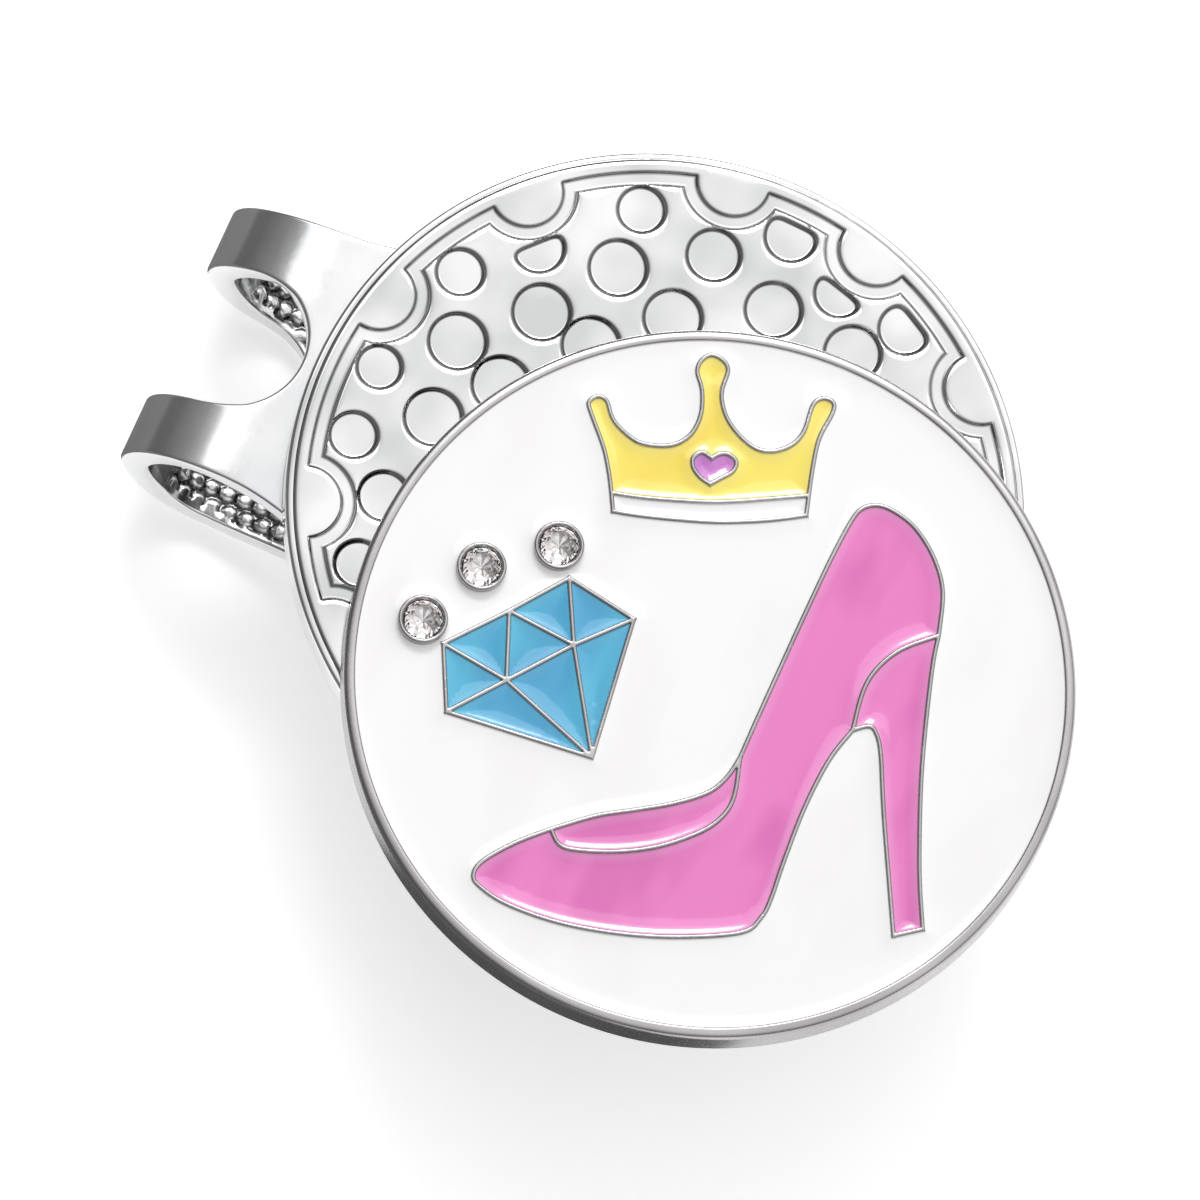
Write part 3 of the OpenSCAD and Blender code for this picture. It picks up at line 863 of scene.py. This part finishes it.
def resin(name, tint):
    """Cloudy set glue."""
    look = Look(name, Roughness=0.2, IOR=1.5, Transmission_Weight=0.5)
    cloud = look.noise(1.5, 3.0)
    look.feed(look.shader.inputs["Base Color"], look.ramp(cloud, (0.3, tint), (0.7, (0.95, 0.93, 0.88))))
    look.bump(cloud, 0.2, 0.02)
    return look.material


def paint(node, material):
    """Gives a CAD node that stays visible its finished material."""
    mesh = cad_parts[node].data
    mesh.materials.clear()
    mesh.materials.append(material)


# the crease value paints a dark line of shade along the outlines of the disc's hollows
BRIGHT = plated("bright_nickel", (0.88, 0.88, 0.875), (0.62, 0.625, 0.63), 0.09, crease_shade=0.75)
LINE_METAL = plated("line_nickel", (0.52, 0.505, 0.505), (0.41, 0.395, 0.4), 0.26)
# the groove value paints shade into the pressed grooves inside the fold
SPRING_METAL = plated("spring_nickel", (0.84, 0.84, 0.84), (0.73, 0.735, 0.745), 0.17, groove_shade=0.9)
MAGNET_METAL = plated("magnet_nickel", (0.60, 0.60, 0.62), (0.48, 0.48, 0.5), 0.22)
SOLDER_METAL = plated("solder_grey", (0.66, 0.66, 0.66), (0.5, 0.5, 0.5), 0.4)

WHITE = enamel("white_enamel", linear(252, 251, 251), linear(249, 247, 248), linear(254, 254, 254), 0.2)
YELLOW = enamel("yellow_enamel", linear(253, 232, 90), linear(250, 221, 72), linear(252, 238, 150))
VIOLET = enamel("violet_enamel", linear(203, 112, 204), linear(180, 88, 190), linear(228, 170, 226))
PINK = enamel("pink_enamel", linear(236, 118, 196), linear(222, 100, 182), linear(243, 176, 222))
BLUE = enamel("blue_enamel", linear(62, 178, 216), linear(46, 160, 208), linear(130, 204, 226), 0.14)

build_disc(BRIGHT)
build_marker(LINE_METAL)

FINE = (0.04, 0.1, 0.2, 0.35)
build_enamel("enamel_field", WHITE, 0.07, 0.3, (*FINE, 0.6), 0.8)
build_enamel("enamel_crown", YELLOW, 0.1, 0.28, FINE, 0.25)
build_enamel("enamel_crown_band", WHITE, 0.08, 0.2, FINE[:3], 0.2)
build_enamel("enamel_heart", VIOLET, 0.1, 0.2, FINE[:3], 0.12)
for part in ("upper", "lining", "heel"):
    build_enamel("enamel_shoe_" + part, PINK, 0.12, 0.32, FINE, 0.3)
for number in range(1, 9):
    build_enamel(f"enamel_gem_{number}", BLUE, 0.1, 0.3, FINE, 0.15)

EDGE, SLOT = strip_edge(), slot_outline()
fold = build_strip("spring_fold", "spring_front", False, SPRING_METAL, EDGE, SLOT)
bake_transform(fold)
leaf = build_strip("spring_leaf", "spring_tongue", True, SPRING_METAL, EDGE, SLOT)
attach(leaf, "tongue")

GLASS, FOIL = clear_cut("crystal_glass"), foiled("crystal_foil")
for place in ("left", "middle", "right"):
    build_crystal("crystal_" + place, GLASS, FOIL)

paint("magnet", MAGNET_METAL)
paint("bond_film", SOLDER_METAL)
paint("magnet_glue", resin("magnet_resin", (0.8, 0.76, 0.6)))
paint("crystal_glue", resin("stone_resin", (0.75, 0.75, 0.74)))


# ---- Floor, light and camera

STAGE_GAP = 0.00001  # metres from the object down to the cards, and from the cards to the floor


def level_sheet(name, low, high, z, material):
    """A level rectangle between two corners, in metres."""
    (x0, y0), (x1, y1) = low, high
    mesh = bpy.data.meshes.new(name)
    mesh.from_pydata([(x0, y0, z), (x1, y0, z), (x1, y1, z), (x0, y1, z)], [], [(0, 1, 2, 3)])
    mesh.materials.append(material)
    sheet = bpy.data.objects.new(name, mesh)
    bpy.context.scene.collection.objects.link(sheet)
    return sheet


def pale_floor():
    """A near-white floor that glows a little and still takes a soft shadow."""
    look = Look("floor_paper", Roughness=0.9, Specular_IOR_Level=0.1, Emission_Color=(1, 1, 1, 1),
                Emission_Strength=0.5)
    paper = look.ramp(look.noise(3.0, 4.0), (0.3, (0.79, 0.79, 0.79)), (0.7, (0.82, 0.82, 0.82)))
    look.feed(look.shader.inputs["Base Color"], paper)
    floor = level_sheet("floor", (-2, -2), (2, 2), cad_box[0].z - 2 * STAGE_GAP, look.material)


def dome():
    """Soft light from above, darker near the horizon and towards the fold, for polished edges to reflect."""
    world = bpy.data.worlds.new("dome")
    bpy.context.scene.world = world
    world.use_nodes = True
    tree = world.node_tree
    nodes, links = tree.nodes, tree.links
    way = nodes.new("ShaderNodeTexCoord")
    height = nodes.new("ShaderNodeVectorMath")
    height.operation = "DOT_PRODUCT"
    height.inputs[1].default_value = (0.16, -0.36, 1.0)
    links.new(way.outputs["Generated"], height.inputs[0])
    ramp = nodes.new("ShaderNodeValToRGB")
    greys = [(0.0, 0.14), (0.15, 0.18), (0.42, 0.26), (0.64, 0.46), (0.8, 0.72), (0.92, 0.92), (1.0, 1.1)]
    set_stops(ramp, [(position, (grey, grey, grey)) for position, grey in greys])
    links.new(height.outputs["Value"], ramp.inputs[0])
    seen = nodes.new("ShaderNodeLightPath")
    pick = nodes.new("ShaderNodeMix")
    pick.data_type = "RGBA"
    links.new(seen.outputs["Is Camera Ray"], pick.inputs[0])
    links.new(ramp.outputs["Color"], pick.inputs[6])
    pick.inputs[7].default_value = (0.92, 0.92, 0.92, 1)
    links.new(pick.outputs[2], nodes["Background"].inputs["Color"])


def dark_card(name, low, high):
    """A dark card on the floor that shows only in reflections, for the dark edges of polished metal."""
    look = Look("card_black", Roughness=1.0, Specular_IOR_Level=0.0)
    felt = look.ramp(look.noise(1.0), (0.3, (0.2, 0.2, 0.2)), (0.7, (0.26, 0.26, 0.26)))
    look.feed(look.shader.inputs["Base Color"], felt)
    card = level_sheet(name, low, high, cad_box[0].z - STAGE_GAP, look.material)
    card.visible_camera = card.visible_diffuse = card.visible_shadow = card.visible_transmission = False


def soft_box(name, bearing, elevation, distance, size, power):
    """An area light that looks at the object from a bearing (degrees from +X towards +Y)."""
    light = bpy.data.lights.new(name, "AREA")
    light.shape, light.size, light.size_y, light.energy = "RECTANGLE", size[0], size[1], power
    lamp = bpy.data.objects.new(name, light)
    b, e = math.radians(bearing), math.radians(elevation)
    way = Vector((math.cos(b) * math.cos(e), math.sin(b) * math.cos(e), math.sin(e)))
    lamp.location = way * distance
    lamp.rotation_euler = way.to_track_quat("Z", "Y").to_euler()
    bpy.context.scene.collection.objects.link(lamp)


def camera():
    """Looks down on the disc, tilted towards -X, with +X up and a little to the right."""
    tilt, bearing, up_bearing = math.radians(16.5), math.radians(185.8), math.radians(23.8)
    target = Vector((-3.8, 0.43, 0)) * MM
    width, distance = 40.8 * MM, 1.5
    sensor_mm = 36
    back = Vector((math.cos(bearing) * math.sin(tilt), math.sin(bearing) * math.sin(tilt), math.cos(tilt)))
    up = Vector((math.cos(up_bearing), math.sin(up_bearing), 0))
    up = (up - up.dot(back) * back).normalized()
    right = up.cross(back)
    view = bpy.data.objects.new("view", bpy.data.cameras.new("view"))
    view.data.sensor_width = sensor_mm
    view.data.lens = sensor_mm * distance / width
    view.data.clip_start, view.data.clip_end = 0.01, 20
    turned = Matrix((right, up, back)).transposed().to_4x4()
    view.matrix_world = Matrix.Translation(target + back * distance) @ turned
    bpy.context.scene.collection.objects.link(view)
    bpy.context.scene.camera = view


pale_floor()
dome()
soft_box("key", 20, 48, 0.5, (0.5, 0.35), 0.6)
soft_box("streak", 20, 44, 0.49, (0.24, 0.09), 0.8)
dark_card("card_fold", (-1.9, 0.0182), (1.9, 1.99))
dark_card("card_left", (-1.9, -0.012), (-0.0155, 0.0182))
camera()
bpy.context.scene.view_settings.view_transform = "Standard"
